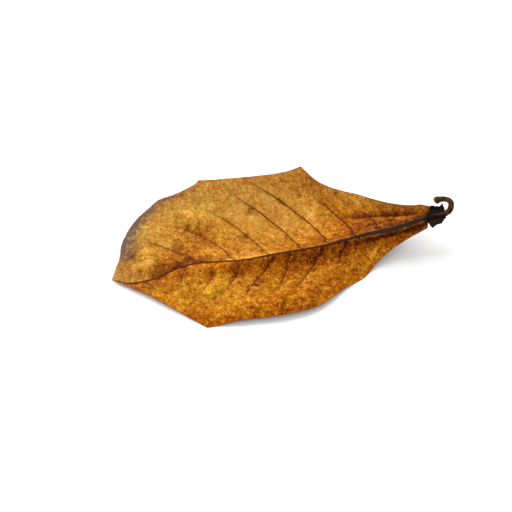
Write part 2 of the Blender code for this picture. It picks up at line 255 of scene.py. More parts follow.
# The blade's faces lie this far above and below the middle sheet. The lower one is where the solid's is,
# the upper one lower than the solid's, so that the margin looks as thin as a real one.
UPPER_FACE, LOWER_FACE = 0.08, 0.35

# Side veins: how wide they are, how deep they are sunk into the upper face and how far they stand out of
# the lower one, and what is left of that at the margin
VEIN_SPREAD = 0.6
VEIN_RISE, VEIN_KEEL = -0.22, 0.4
VEIN_END = 0.15
# No two veins are taken to be nearer to each other than this
LEAST_GAP = 0.2

# The share of the way out over which a vein's dark line fades away
INK_FADE = 0.45

# Side veins wander a little on their way: how much, and over what length outwards. From this far out on
# they wander fully. Along the midrib their pattern is this many times longer.
WANDER = ((0.8, 9.0), (0.25, 3.0))
WANDER_START, WANDER_ALONG = 6.0, 3
# They meet the midrib with an elbow: how far it shifts them, how far out it lies and how long it is
ELBOW_SHIFT, ELBOW_OUT, ELBOW_LENGTH = 1.4, 4.2, 2.4

# The margin is bitten unevenly: how deep and how long the bites are, on its torn first stretch and
# elsewhere. The torn stretch is this long, and fades out after this share of it. Where the half is
# narrower than this, its bites are shallower.
TORN_BITES, MARGIN_BITES = (1.2, 1.4), (0.22, 3.5)
TORN_LENGTH, TORN_KEPT = 22.0, 0.7
BITTEN_REACH = 4.0

# Where in the noise the bites and the wandering veins are read; the near half reads its other side
BITE_PLACE, WANDER_PLACE = 3.7, 5.3

# Zones of each half: distance along the midrib and how far the zone reaches along it, share of the way out
# and how far it reaches outwards, and how strong it is. Browned zones add to each half's own tone
FAR_TONE, NEAR_TONE, RIB_TONE = 0.04, 0.35, 0.75
FAR_BROWNED = (
    (0, 20, 0.4, 0.5, 0.95),
    (40, 14, 0.2, 0.25, 0.33),
    (45, 16, 0.6, 0.35, 0.16),
    (75, 50, 0, 0.28, 0.46),
    (50, 8, 0.25, 0.2, 0.15),
    (64, 12, 0.55, 0.15, -0.14),
    (152, 15, 0.8, 0.13, 0.22),
    (25, 11, 0.05, 0.3, 0.5),
    (137, 8, 0.05, 0.12, 0.22),
    (178, 10, 0.6, 0.4, 0.15),
    (100, 20, 1, 0.12, 0.2),
    (112, 24, 0, 0.035, -0.35),
    (60, 30, 1, 0.2, 0.2),
    (125, 10, 0.42, 0.2, 0.19),
    (142, 11, 0.38, 0.15, 0.17),
    # These two darken the valley beside the midrib near the tip: painted shade
    (150, 15, 0.15, 0.2, 0.2),
    (160, 17, 0, 0.16, 0.55),
    (170, 30, 0.6, 0.6, 0.15),
    (118, 26, 0.95, 0.4, 0.22),
    (160, 12, 0.85, 0.25, 0.25),
)
NEAR_BROWNED = (
    # The base's own dark brown, together with painted shade where the near half drops from the midrib
    (4, 22, 0.3, 0.5, 0.75),
    # Painted shade in the steep fold beside the midrib
    (66, 40, 0, 0.25, 0.31),
    (45, 14, 0.6, 0.4, -0.08),
    # Painted shade in the trough below a bulge beside the midrib
    (126, 6, 0.14, 0.13, 0.25),
    (136, 14, 0.45, 0.2, -0.12),
    (116, 9, 0.12, 0.15, 0.3),
    (106, 9, 0.75, 0.15, -0.25),
    (58, 9, 0.65, 0.15, 0.18),
    (44, 8, 0.08, 0.13, 0.2),
    (98, 8, 0.4, 0.2, 0.14),
    (92, 45, 1, 0.2, 0.3),
    (185, 22, 0.5, 1, 0.18),
)
# Spots and patches: x, y, radius, and how much browner each is; some are paler
SPOTS = (
    (-18.6, 20.8, 1.8, 0.5),
    (-17.4, 23.6, 1.5, 0.4),
    (-12.1, 39.3, 1.8, 0.45),
    (-14, 37.2, 1.3, 0.4),
    (16.5, 42.7, 1.4, 0.4),
    (5.9, 40.5, 1.4, 0.35),
    (-12, 34.6, 2.2, -0.3),
    (22.9, 29.6, 3.2, -0.2),
    (-27.9, 31.8, 2.5, 0.2),
    (-52.6, 28.6, 1.7, 0.45),
    (-31.6, 39.8, 1.4, 0.4),
    (-74.7, 18.7, 1.3, 0.3),
    (-87, 14.5, 1.4, 0.35),
    (-83, 2.5, 1.2, 0.4),
    (-43.9, 4, 1.5, 0.35),
    (-43.9, 4, 0.8, -0.5),
    (-27.7, -14.5, 0.8, 0.9),
    (-18.7, -18.1, 1.2, 0.6),
    (-24.8, -35.1, 1.2, 0.4),
    (-22.5, -38.4, 1.2, 0.4),
    (-48.7, -17, 4, -0.3),
    (-8, -33.5, 5, 0.15),
    # These two paler patches lie on the ridge of a bulge: painted highlight
    (-42, 37, 4, -0.2),
    (-50, 38.5, 4, -0.25),
    # These two darker patches lie in the troughs of two dents: painted shade
    (-74, 0.5, 4, 0.22),
    (-42.5, -6.5, 2.2, 0.25),
    (-62, 8, 5, 0.08),
    (-55, 6, 3.5, 0.08),
    (-61, 16, 4, 0.1),
    # These four paler strips lie on the bulges at the left: painted highlight
    (-78, 5, 3, -0.3),
    (-77.5, 13, 3.5, -0.15),
    (-39, 7, 3, -0.35),
    (-46, 8, 2.5, -0.25),
    (-35.5, 2, 2, 0.35),
    (43.5, 16.5, 6, -0.17),
    (33.5, 28, 4.5, 0.12),
    (68, 12, 5, 0.2),
    (-65, 3.5, 3.5, -0.16),
    (-1, 34, 6.5, 0.13),
    (-1, 50.5, 7, -0.13),
    (-26.5, 7, 5, 0.14),
    (-17, 42, 4.5, -0.11),
)
# Zones of painted grey sheen: the pale surroundings reflected where the skin turns towards them
FAR_SHEEN, NEAR_SHEEN = 0.08, 0.0
FAR_SHEENED = (
    (80, 60, 0.9, 0.25, 0.08),
    (195, 14, 0.5, 1, 0.25),
    (146, 24, 0.9, 0.15, 0.25),
)
NEAR_SHEENED = ((195, 14, 0.5, 1, 0.2),)
# Painted grey sheen along the far half's rim near the tip, where the margin curls down: distance along the
# midrib, how far it reaches along it and inwards from the margin, and its strength
RIM_SHEEN = (134, 28, 10, 1)
# Zones where the blade is a greener gold
FAR_GREENED = ((145, 45, 0.95, 0.5, 0.7),)
NEAR_GREENED = (
    (130, 40, 0.5, 0.35, 0.7),
    (160, 25, 0.8, 0.5, 0.4),
)
# Zones where the blade is a deeper, warmer gold
FAR_WARMTH, NEAR_WARMTH = 0.1, 0.72
FAR_WARMED = (
    (22, 26, 0.4, 0.5, 0.9),
    (75, 55, 0, 0.3, 0.7),
    (45, 16, 0.4, 0.4, 0.5),
    (124, 12, 0.45, 0.25, 0.5),
    (150, 22, 0.15, 0.25, 0.8),
)
NEAR_WARMED = (
    (75, 45, 0, 0.25, 0.28),
    (100, 40, 1, 0.2, 0.3),
    (132, 8, 0.08, 0.1, 0.3),
    (165, 16, 0.15, 0.2, 0.2),
)

# The blade's grid: rows between midrib and margin, how much closer they stand at both ends, how far along
# the midrib the torn base reaches, and the widest gap between columns there and elsewhere
ROWS_PER_HALF = 50
ROW_CROWDING = 0.3
TORN_REACH = 12.5
TORN_COLUMN, WIDEST_COLUMN = 0.25, 0.55
# Edges sharper than this many degrees stay sharp
SHARP_EDGE = 50

# Leaf stalk: centre line x, y, height and thickness as a share of the stalk's own
STALK = (
    (87, 0.4, 21.6, 0.8),
    (90, 0.8, 22, 1.1),
    (93.5, 0.8, 22.2, 1.3),
    (96, 1.5, 22.5, 1.45),
    (98.5, 2.5, 23.5, 1.5),
    (99.6, 3.5, 25.5, 1.5),
    (99.6, 4.5, 27.3, 1.45),
    (98.5, 5, 29, 1.35),
    (96, 6.3, 29.5, 1.3),
    (93.5, 6.6, 29.5, 1.5),
    (91.5, 6.8, 28.8, 1.85),
    (90, 6.6, 28, 1.6),
)
STALK_RADIUS = 1.2
STALK_RINGS, STALK_SIDES = 110, 28
# It is rounded off over this length at both ends
STALK_ROUNDING = 0.9
# Its furrows: how many, how deep as a share of its radius, and how many radians they turn in a millimetre
FURROWS, FURROW_DEPTH, FURROW_TURN = 5, 0.08, 0.08
# Its lumps: how high as a share of its radius, how long, and how closely they stand round it
LUMP_HEIGHT, LUMP_LENGTH, LUMPS_ROUND = 0.06, 1.6, 1.5
# Points of the stalk that are nearer to each other than this become one
WELD = 0.001


def slopes(stations, values):
    """Slope of a smooth line at each of its knots, from the stretches on either side."""
    gaps = np.diff(stations)[:, None]
    rises = np.diff(values, axis=0) / gaps
    inner = (rises[:-1] * gaps[1:] + rises[1:] * gaps[:-1]) / (gaps[1:] + gaps[:-1])
    return np.concatenate([rises[:1], inner, rises[-1:]])


def smooth(stations, values, at):
    """Values at these stations on a smooth line through the knots."""
    stations, values = np.asarray(stations, float), np.asarray(values, float)
    lean = slopes(stations, values)
    at = np.clip(np.atleast_1d(at), stations[0], stations[-1])
    first = np.clip(np.searchsorted(stations, at) - 1, 0, len(stations) - 2)
    gap = (stations[first + 1] - stations[first])[:, None]
    t = (at - stations[first])[:, None] / gap
    return (
        values[first] * (1 + 2 * t) * (1 - t) ** 2
        + values[first + 1] * t**2 * (3 - 2 * t)
        + (lean[first] * t * (1 - t) ** 2 - lean[first + 1] * t**2 * (1 - t)) * gap
    )


def profile(table, at):
    """The columns of a table of sections, smoothly between its rows: the first column is where."""
    return smooth([row[0] for row in table], [row[1:] for row in table], at).T


def ease(low, high, value):
    """0 below low, 1 above high, smoothly between."""
    t = np.clip((value - low) / (high - low), 0, 1)
    return t * t * (3 - 2 * t)


def hump(value, centre, width):
    """1 at the centre, falling away smoothly over this width on both sides."""
    return np.exp(-(((value - centre) / width) ** 2))


def grain(*place):
    """Smooth noise from about -1 to 1 at each point whose coordinates these arrays hold."""
    shape = np.broadcast_shapes(*(np.shape(values) for values in place))
    flat = [np.broadcast_to(values, shape).ravel() for values in place]
    return np.array([noise.noise(Vector(point)) for point in zip(*flat)]).reshape(shape)


class Line:
    """A line in space through knots, read by distance along it; some knots are sharp corners."""

    def __init__(self, knots, corners=()):
        knots = np.asarray(knots, float)
        breaks = sorted({0, len(knots) - 1, *corners})
        parts = [self.stretch(knots[a : b + 1]) for a, b in zip(breaks, breaks[1:])]
        self.points = np.concatenate([parts[0][:1]] + [part[1:] for part in parts])
        steps = np.linalg.norm(np.diff(self.points[:, :3], axis=0), axis=1)
        self.along = np.concatenate([[0.0], np.cumsum(steps)])
        self.length = self.along[-1]
        ends = np.cumsum([0] + [len(part) - 1 for part in parts])
        self.corners = self.along[ends]

    @staticmethod
    def stretch(knots, fineness=24):
        """Closely spaced points on the smooth line through one stretch of knots."""
        gaps = np.linalg.norm(np.diff(knots[:, :3], axis=0), axis=1)
        stations = np.concatenate([[0.0], np.cumsum(gaps)])
        evenly = np.linspace(0, len(gaps), len(gaps) * fineness + 1)
        return smooth(stations, knots, np.interp(evenly, np.arange(len(stations)), stations))

    def at(self, distance):
        """The points at these distances."""
        return np.stack([np.interp(distance, self.along, column) for column in self.points.T], -1)


def margin_line(margin):
    """The line of one half's margin."""
    corners = [i for i, knot in enumerate(margin) if knot[3]]
    return Line([knot[:3] for knot in margin], corners)


def softened(line, distances, reach, samples=13):
    """The line averaged on both sides of these distances, less and less towards its ends, and less where
    the blade reaches less far."""
    window = np.minimum(MARGIN_SOFTENING, SOFTENED_SHARE * reach)
    window = np.minimum(window, np.minimum(distances, line.length - distances))
    return np.mean([line.at(distances + window * part) for part in np.linspace(-1, 1, samples)], axis=0)


def bow_shape(share):
    """How a vein bows: 0 at both ends, 1 at its peak, which lies nearer the midrib."""
    peak = 1 / (1 + BOW_SKEW)
    return share * (1 - share) ** BOW_SKEW / (peak * (1 - peak) ** BOW_SKEW)


def through_four(heights, share):
    """The height on a cubic through four heights that are evenly spaced from 0 to 1."""
    nodes = (0.0, 1 / 3, 2 / 3, 1.0)
    total = 0.0
    for i, node in enumerate(nodes):
        weight = 1.0
        for other in nodes[:i] + nodes[i + 1 :]:
            weight *= (share - other) / (node - other)
        total = total + heights[i] * weight
    return total


class Half:
    """One half of the blade. Its columns run out from the midrib to the margin, as its veins do."""

    def __init__(self, side, midrib, margin, base, veins, guides, swell, fold, fold_width):
        self.side = side
        self.midrib = midrib
        self.margin = margin_line(margin)
        self.veins = [vein[0] for vein in veins]
        self.stops = np.array([0.0, *self.veins, midrib.length])
        self.ink = np.array([0.0, *(vein[3] for vein in veins), 0.0])
        self.ink_end = np.array([0.5, *(vein[4] for vein in veins), 0.5])
        pairs = [(*pair, 0.0) for pair in base] + [vein[:3] for vein in veins] + list(guides)
        pairs.append((midrib.length, self.margin.length, 0.0))
        self.feet, self.rims, self.bows = (np.array(column) for column in zip(*sorted(pairs)))
        self.swell = swell
        self.fold = np.array(fold)
        self.fold_width = fold_width

    def corner_columns(self):
        """Where on the midrib the columns stand that end in the margin's corners."""
        return np.interp(self.margin.corners, self.rims, self.feet)

    def blister(self, stations):
        """0 on a vein to 1 midway between two veins."""
        phase = np.interp(stations, self.stops, np.arange(len(self.stops)))
        return np.sin(np.pi * (phase % 1.0)) ** 2

    def foot(self, stations, step=0.5):
        """The points at the side of the midrib from which the columns start."""
        ahead = self.midrib.at(stations + step)[:, :2] - self.midrib.at(stations - step)[:, :2]
        ahead /= np.linalg.norm(ahead, axis=1)[:, None]
        half_width = profile(RIB, stations)[0]
        foot = self.midrib.at(stations)
        foot[:, 0] += ahead[:, 1] * half_width * self.side
        foot[:, 1] -= ahead[:, 0] * half_width * self.side
        return foot

    def bitten(self, rim, distances, outwards):
        """The margin with its small bites and bumps, which are rougher at the torn base."""
        torn = 1 - ease(TORN_LENGTH * TORN_KEPT, TORN_LENGTH, distances)
        for amount, (depth, length) in ((torn, TORN_BITES), (1 - torn, MARGIN_BITES)):
            bites = grain(distances / length, self.side * BITE_PLACE, length)
            rim[:, :2] += outwards * (amount * depth * bites)[:, None]
        return rim

    def sheet(self, stations, shares):
        """Middle of the blade's thickness: a grid of points, a row for each share of the way out. Also how
        far each point is from the midrib and from the margin."""
        foot = self.foot(stations)
        distances = np.interp(stations, self.feet, self.rims)
        rim = self.margin.at(distances)
        out = rim[:, :2] - foot[:, :2]
        reach = np.maximum(np.linalg.norm(out, axis=1), 1e-6)
        soft_rim = softened(self.margin, distances, reach)
        towards_stalk = np.stack([out[:, 1], -out[:, 0]], -1) / reach[:, None] * self.side
        shallower = np.minimum(1, reach / BITTEN_REACH)[:, None]
        rim = self.bitten(rim, distances, out / reach[:, None] * shallower)
        bow = np.interp(stations, self.feet, self.bows) * ease(0, BOW_REACH, reach)
        bow = bow[:, None] * towards_stalk
        drop = np.interp(stations, self.fold[:, 0], self.fold[:, 1])
        width = np.minimum(self.fold_width, FOLD_SHARE * reach)
        heights = (foot[:, 2] - drop, *profile(self.swell, stations), rim[:, 2])
        blister = BLISTER_HEIGHT * self.blister(stations)
        rows = []
        for share in shares:
            row = foot * (1 - share) + soft_rim * share + (rim - soft_rim) * share**CORNER_FADE
            row[:, :2] += bow * bow_shape(share)
            row[:, 2] = through_four(heights, share)
            row[:, 2] += drop * np.maximum(0.0, 1 - share * reach / width) ** 2
            row[:, 2] += blister * 4 * share * (1 - share)
            rows.append(row)
        return np.stack(rows), shares[:, None] * reach, (1 - shares[:, None]) * reach

    def vein_marks(self, points, stations, shares, outs):
        """For each point: the count of veins up to it, the gap between veins there in millimetres, and
        how dark the nearest vein is."""
        along = stations[None]
        shift = sum(
            height * grain(along / (WANDER_ALONG * length), outs / length, self.side * WANDER_PLACE)
            for height, length in WANDER
        )
        shift = shift * ease(0, WANDER_START, outs) - ELBOW_SHIFT * hump(outs, ELBOW_OUT, ELBOW_LENGTH)
        count = np.interp(along + shift, self.stops, np.arange(len(self.stops)))
        across = np.gradient(points, stations, axis=1)
        onward = np.gradient(points, shares, axis=0)
        onward /= np.maximum(np.linalg.norm(onward, axis=2, keepdims=True), 1e-6)
        pace = np.linalg.norm(np.cross(across, onward), axis=2)
        which = np.clip(np.floor(count).astype(int), 0, len(self.stops) - 2)
        gap = np.maximum(pace * np.diff(self.stops)[which], LEAST_GAP)
        nearest = np.clip(np.rint(count).astype(int), 0, len(self.stops) - 1)
        end = self.ink_end[nearest]
        ink = self.ink[nearest] * (1 - ease(end - INK_FADE, end, shares[:, None]))
        return count, gap, ink


def zones(stations, shares, base, table):
    """The strength of a set of zones at each point of a half."""
    total = np.full(np.broadcast_shapes(stations.shape, shares.shape), base)
    for station, length, share, breadth, strength in table:
        total += strength * hump(stations, station, length) * hump(shares, share, breadth)
    return total


def row_shares():
    """How far out each row lies from the midrib's foot to the margin."""
    even = np.arange(ROWS_PER_HALF + 1) / ROWS_PER_HALF
    crowded = (1 - np.cos(np.pi * even)) / 2
    return even * (1 - ROW_CROWDING) + crowded * ROW_CROWDING


def column_stations(halves, midrib):
    """Distances along the midrib of all columns: veins, corners, and fillers."""
    fixed = {0.0, midrib.length}
    for half in halves:
        fixed.update(half.corner_columns())
        fixed.update(half.veins)
    kept = [0.0]
    for station in sorted(fixed)[1:]:
        widest = TORN_COLUMN if station < TORN_REACH else WIDEST_COLUMN
        pieces = max(1, math.ceil((station - kept[-1]) / widest))
        kept.extend(np.linspace(kept[-1], station, pieces + 1)[1:])
    return np.array(kept)


def unevenness(points):
    """What the dry blade's waves add to the height at these points."""
    x, y, z = np.moveaxis(points, 2, 0)
    return sum(height * grain(x / length, y / length, z / length) for height, length in WAVES)


def normals_of(grid):
    """Unit vectors that stand on the middle sheet and point up."""
    across = np.cross(np.gradient(grid, axis=1), np.gradient(grid, axis=0))
    across[across[:, :, 2] < 0] *= -1
    across[:, -1] = across[:, -3]
    return across / np.maximum(np.linalg.norm(across, axis=2, keepdims=True), 1e-12)


def dented(points):
    """What the bulges and dents add to the height at these points."""
    total = 0.0
    for x, y, long, short, degrees, height in DENTS:
        turn = math.radians(degrees)
        off_x, off_y = points[:, :, 0] - x, points[:, :, 1] - y
        along = off_x * math.cos(turn) + off_y * math.sin(turn)
        across = off_y * math.cos(turn) - off_x * math.sin(turn)
        total = total + height * hump(along, 0, long) * hump(across, 0, short)
    return total


def pleated(stations, outs, sides):
    """What the pleats at the base add to the height, and to the brown: painted shade in their creases and
    painted light on a ridge.
    """
    total = np.zeros((2, *outs.shape))
    for side, start, end, first_out, last_out, height, width, brown in PLEATS:
        share = np.clip((stations - start) / (end - start), 0, 1)
        line = first_out + (last_out - first_out) * share
        strength = ease(0, PLEAT_RISE, share) * (1 - ease(PLEAT_FADE, 1, share))
        strength = strength * hump(outs, line, width) * (sides == side)
        total += strength * np.array((height, brown))[:, None, None]
    return total


def spotted(points):
    """How much browner the spots make the blade at these points."""
    total = 0.0
    for x, y, radius, brown in SPOTS:
        off = np.hypot(points[:, :, 0] - x, points[:, :, 1] - y)
        total = total + brown * hump(off, 0, radius)
    return total


def joined(near, rib, far):
    """Rows of the whole blade: the near half's from its margin inwards, the midrib's, the far half's."""
    return np.concatenate([near[::-1], rib, far])


class Blade:
    """The whole blade as a grid: rows from the near margin over the midrib to the far margin."""

    def __init__(self):
        midrib = Line(MIDRIB)
        far = Half(
            1, midrib, FAR_MARGIN, FAR_BASE, FAR_VEINS, FAR_GUIDES, FAR_SWELL, FAR_FOLD, FAR_FOLD_WIDTH
        )
        near = Half(
            -1, midrib, NEAR_MARGIN, NEAR_BASE, NEAR_VEINS, (), NEAR_SWELL, NEAR_FOLD, NEAR_FOLD_WIDTH
        )
        self.stations = column_stations((far, near), midrib)
        shares = row_shares()
        across = np.sin(np.linspace(-0.5, 0.5, RIB_ROWS + 2)[1:-1] * np.pi)[:, None]
        far_sheet, far_outs, far_inward = far.sheet(self.stations, shares)
        near_sheet, near_outs, near_inward = near.sheet(self.stations, shares)
        crest = midrib.at(self.stations)
        rib = [
            crest * (1 - abs(u)) + (far_sheet if u > 0 else near_sheet)[0] * abs(u) for u in across[:, 0]
        ]
        none = np.zeros((RIB_ROWS, len(self.stations)))
        self.middle = joined(near_sheet, rib, far_sheet)
        self.outs = joined(near_outs, none, far_outs)
        self.to_rim = joined(near_inward, none + ON_RIB_TO_RIM, far_inward)
        self.side = joined(near_outs * 0 - 1, none + across, far_outs * 0 + 1)
        self.rib = joined(near_outs * 0, none + 1, far_outs * 0)
        self.middle[:, :, 2] += unevenness(self.middle) + dented(self.middle)
        pleats, crease_shade = pleated(self.stations[None], self.outs, self.side)
        self.middle[:, :, 2] += pleats
        self.middle[:, :, 2] = np.maximum(self.middle[:, :, 2], LOWER_FACE)
        far_veins = far.vein_marks(far_sheet, self.stations, shares, far_outs)
        near_veins = near.vein_marks(near_sheet, self.stations, shares, near_outs)
        self.count, self.gap, self.ink = (
            joined(near_marks, none + on_rib, far_marks)
            for near_marks, on_rib, far_marks in zip(near_veins, ON_RIB_VEINS, far_veins)
        )
        self.brown, self.bloom, self.warmth, self.olive = (
            joined(
                zones(self.stations[None], shares[:, None], near_base, near_zones),
                none + on_rib,
                zones(self.stations[None], shares[:, None], far_base, far_zones),
            )
            for on_rib, near_base, near_zones, far_base, far_zones in (
                (RIB_TONE, NEAR_TONE, NEAR_BROWNED, FAR_TONE, FAR_BROWNED),
                (0.0, NEAR_SHEEN, NEAR_SHEENED, FAR_SHEEN, FAR_SHEENED),
                (1.0, NEAR_WARMTH, NEAR_WARMED, FAR_WARMTH, FAR_WARMED),
                (0.0, 0.0, NEAR_GREENED, 0.0, FAR_GREENED),
            )
        )
        # Painted shade of the creases, and the spots, some of which paint highlight and shade of the
        # relief
        self.brown += crease_shade + spotted(self.middle)
        # The painted grey sheen along the curled far rim near the tip
        station, length, reach, sheen_strength = RIM_SHEEN
        along_rim = hump(self.stations[None], station, length) * (self.side == 1)
        self.bloom += sheen_strength * along_rim * (1 - ease(0, reach, self.to_rim))
        self.upper, self.lower = self.faces(shares, across)

    def faces(self, shares, across):
        """Points of the upper and of the lower face."""
        offness = np.abs(self.count - np.rint(self.count)) * self.gap
        ridge = hump(offness, 0, VEIN_SPREAD) * (self.ink > 0)
        fade = 1 - (1 - VEIN_END) * shares[:, None]
        fade = joined(fade, np.zeros((RIB_ROWS, 1)), fade)
        flat = np.zeros((len(shares), 1))
        round_off = joined(flat, np.sqrt(1 - across**2), flat)
        _, rise, keel = profile(RIB, self.stations)
        above = UPPER_FACE + VEIN_RISE * ridge * fade + rise * round_off
        below = LOWER_FACE + VEIN_KEEL * ridge * fade + keel * round_off
        standing = normals_of(self.middle)
        upper = self.middle + standing * above[:, :, None]
        lower = self.middle - standing * below[:, :, None]
        lower[:, :, 2] = np.where(lower[:, :, 2] > PRESSED, lower[:, :, 2], 0.0)
        return upper, lower


def new_object(name, mesh):
    """A new object in the scene with this mesh."""
    thing = bpy.data.objects.new(name, mesh)
    bpy.context.collection.objects.link(thing)
    return thing


def numbered_grid(columns, rows):
    """A flat grid as a bmesh, with a number on each of its points, counted row by row."""
    bm = bmesh.new()
    bmesh.ops.create_grid(bm, x_segments=columns - 1, y_segments=rows - 1, size=0.5)
    number = bm.verts.layers.int.new("number")
    for vert in bm.verts:
        column = round((vert.co.x + 0.5) * (columns - 1))
        row = round((vert.co.y + 0.5) * (rows - 1))
        vert[number] = row * columns + column
    return bm, number


def write_attribute(mesh, name, values):
    """Gives each point of the mesh its three values, by its number."""
    numbers = np.empty(len(mesh.vertices), np.int32)
    mesh.attributes["number"].data.foreach_get("value", numbers)
    table = np.stack([np.broadcast_to(v, values[0].shape).ravel() for v in values], -1)
    layer = mesh.attributes.new(name, "FLOAT_VECTOR", "POINT")
    layer.data.foreach_set("vector", table[numbers % len(table)].astype(np.float32).ravel())


def blade_object(blade, materials):
    """The blade as one closed thin shell, with what its materials read."""
    rows, columns = blade.middle.shape[:2]
    total = rows * columns
    bm, number = numbered_grid(columns, rows)
    made = bmesh.ops.extrude_face_region(bm, geom=bm.faces[:], use_keep_orig=True)
    for item in made["geom"]:
        if isinstance(item, bmesh.types.BMVert):
            item[number] += total
    places = np.concatenate([blade.lower.reshape(-1, 3), blade.upper.reshape(-1, 3)]) * MM
    for vert in bm.verts:
        vert.co = Vector(places[vert[number]])
    # Each face's last column is one point, the tip
    for face, tip_place in enumerate((places[total - 1], places[-1])):
        tip = [
            vert
            for vert in bm.verts
            if vert[number] // total == face and vert[number] % columns == columns - 1
        ]
        bmesh.ops.pointmerge(bm, verts=tip, merge_co=Vector(tip_place))
    bmesh.ops.recalc_face_normals(bm, faces=bm.faces)
    for face in bm.faces:
        face.smooth = True
        face.material_index = int(all(vert[number] < total for vert in face.verts))
    mesh = bpy.data.meshes.new("blade")
    bm.to_mesh(mesh)
    bm.free()
    write_attribute(mesh, "veins", (blade.count, blade.gap, blade.ink))
    write_attribute(mesh, "place", (blade.stations[None] + 0 * blade.outs, blade.outs, blade.to_rim))
    write_attribute(mesh, "marks", (blade.rib, blade.side, blade.olive))
    write_attribute(mesh, "tone_and_sheen", (blade.brown, blade.bloom, blade.warmth))
    mesh.set_sharp_from_angle(angle=math.radians(SHARP_EDGE))
    for material in materials:
        mesh.materials.append(material)
    return new_object("blade", mesh)


def stalk_object(material):
    """The hooked leaf stalk, shrunk into furrows, with the scar where it broke off the twig."""
    route = Line(STALK)
    distances = np.linspace(0, route.length, STALK_RINGS)
    centres = route.at(distances)
    ahead = np.gradient(centres[:, :3], axis=0)
    ahead /= np.linalg.norm(ahead, axis=1)[:, None]
    sideways = np.cross(ahead, (0.0, 1.0, 0.0))
    sideways /= np.linalg.norm(sideways, axis=1)[:, None]
    upwards = np.cross(sideways, ahead)
    turn = np.linspace(0, 2 * np.pi, STALK_SIDES + 1)[:, None]
    along = distances[None]
    circle = np.cos(turn) * LUMPS_ROUND, np.sin(turn) * LUMPS_ROUND
    lumps = LUMP_HEIGHT * grain(*circle, along / LUMP_LENGTH)
    furrows = -FURROW_DEPTH * (0.5 + 0.5 * np.cos(FURROWS * turn + FURROW_TURN * along))
    closing = np.sqrt(np.clip((route.length - along) / STALK_ROUNDING, 0, 1))
    closing = closing * np.sqrt(np.clip(along / STALK_ROUNDING, 0, 1))
    radius = STALK_RADIUS * centres[None, :, 3] * (1 + lumps + furrows) * closing
    points = (
        centres[None, :, :3]
        + (radius * np.cos(turn))[:, :, None] * sideways[None]
        + (radius * np.sin(turn))[:, :, None] * upwards[None]
    )
    bm, number = numbered_grid(STALK_RINGS, STALK_SIDES + 1)
    places = points.reshape(-1, 3) * MM
    for vert in bm.verts:
        vert.co = Vector(places[vert[number]])
    bmesh.ops.remove_doubles(bm, verts=bm.verts, dist=WELD * MM)
    bmesh.ops.recalc_face_normals(bm, faces=bm.faces)
    for face in bm.faces:
        face.smooth = True
    mesh = bpy.data.meshes.new("stalk")
    bm.to_mesh(mesh)
    bm.free()
    from_end = route.length - along + 0 * turn
    write_attribute(mesh, "place", (from_end, np.cos(turn) + 0 * along, np.sin(turn) + 0 * along))
    mesh.materials.append(material)
    return new_object("stalk", mesh)


def colour(code):
    """An sRGB hex colour as the linear colour that shaders take."""
    parts = [int(code[i : i + 2], 16) / 255 for i in (1, 3, 5)]
    linear = [c / 12.92 if c <= 0.04045 else ((c + 0.055) / 1.055) ** 2.4 for c in parts]
    return (*linear, 1.0)


# What an eased range and a mix of colours are set to
EASED = {"interpolation_type": "SMOOTHSTEP"}
COLOURS = {"data_type": "RGBA", "out": 2}


def add(tree, kind, inputs, out=0, ramp=(), **settings):
    """Adds a node with its settings, values, links and the evenly spaced colours of its ramp, and returns
    one of its outputs. Inputs go by name or by number: a Map Range has its value as 0, the range that is
    read as 1 and 2, and the range that is given as 3 and 4, and a Mix of colours has its share as 0 and
    its colours as 6 and 7."""
    made = tree.nodes.new("ShaderNode" + kind)
    for i, shade in enumerate(ramp[1:-1], 1):
        made.color_ramp.elements.new(i / (len(ramp) - 1)).color = shade
    if ramp:
        made.color_ramp.elements[0].color = ramp[0]
        made.color_ramp.elements[-1].color = ramp[-1]
    for name, value in settings.items():
        setattr(made, name, value)
    for key, value in inputs.items():
        if isinstance(value, bpy.types.NodeSocket):
            tree.links.new(value, made.inputs[key])
        else:
            made.inputs[key].default_value = value
    return made.outputs[out]


def per_mm(length):
    """The scale that makes a pattern's features about this many millimetres long."""
    return 1 / (length * MM)


def new_material(name):
    """A new material, its node tree and its shader."""
    material = bpy.data.materials.new(name)
    material.use_nodes = True
    return material, material.node_tree, material.node_tree.nodes["Principled BSDF"]


# Dry, leathery leaf blade: cell walls browned by tannin, under a thin skin. Gives the eye a mottled ochre
# that deepens to rust and dark brown, with a fine paler net, dark veins and almost no gloss. Its colour
# also holds painted grey sheen, and painted shade in the folds, creases and beside the veins.
# Tones run from the palest to the most browned.
UPPER_LOOKS = {
    "tones": "#EBC888 #DBAD62 #CB9442 #B57F30 #A0681C #89510B #6B3707 #46200A #2C150A",
    "warm": "#FFE159",
    "bloom": "#4C413C",
    "vein": "#4A210B",
    "rib": "#251B15",
    "burnt": "#110905",
    "flap": "#22130A",
    "edge": "#86421F",
}
# The underside of the same blade: duller and greyer, because it has fine down on it.
LOWER_LOOKS = {
    "tones": "#DDC396 #CDAE7B #BC9862 #A9824D #966E3A #81582A #68401D #482A14 #2E1A0E",
    "warm": "#FFEFA0",
    "bloom": "#8C8172",
    "vein": "#7A4A26",
    "rib": "#4A3222",
    "burnt": "#241811",
    "flap": "#3A2013",
    "edge": "#5A3210",
}
# Tints that the tones of both faces are multiplied by
RUDDY, GREENISH, OLIVE = "#FEF2E2", "#F7FCE4", "#EAFFE0"
UPPER_ROUGHNESS, LOWER_ROUGHNESS = 0.55, 0.7
BLADE_SPECULAR = 0.03

# The brown of a place runs from the palest tone to the most browned one
PALEST, MOST_BROWNED = -0.4, 1.2
# Broad clouds, patches, and mottles down to single cells: their size in millimetres, how finely each is
# broken up, and how much it browns and pales. Where the skin is dullest only this share of them is left.
CLOUDS, PATCHES, MOTTLES = (26.0, 1.0, 0.5), (7.0, 0.0, 0.25), (3.0, 2.5, 0.4)
DULL_SHARE = 0.68
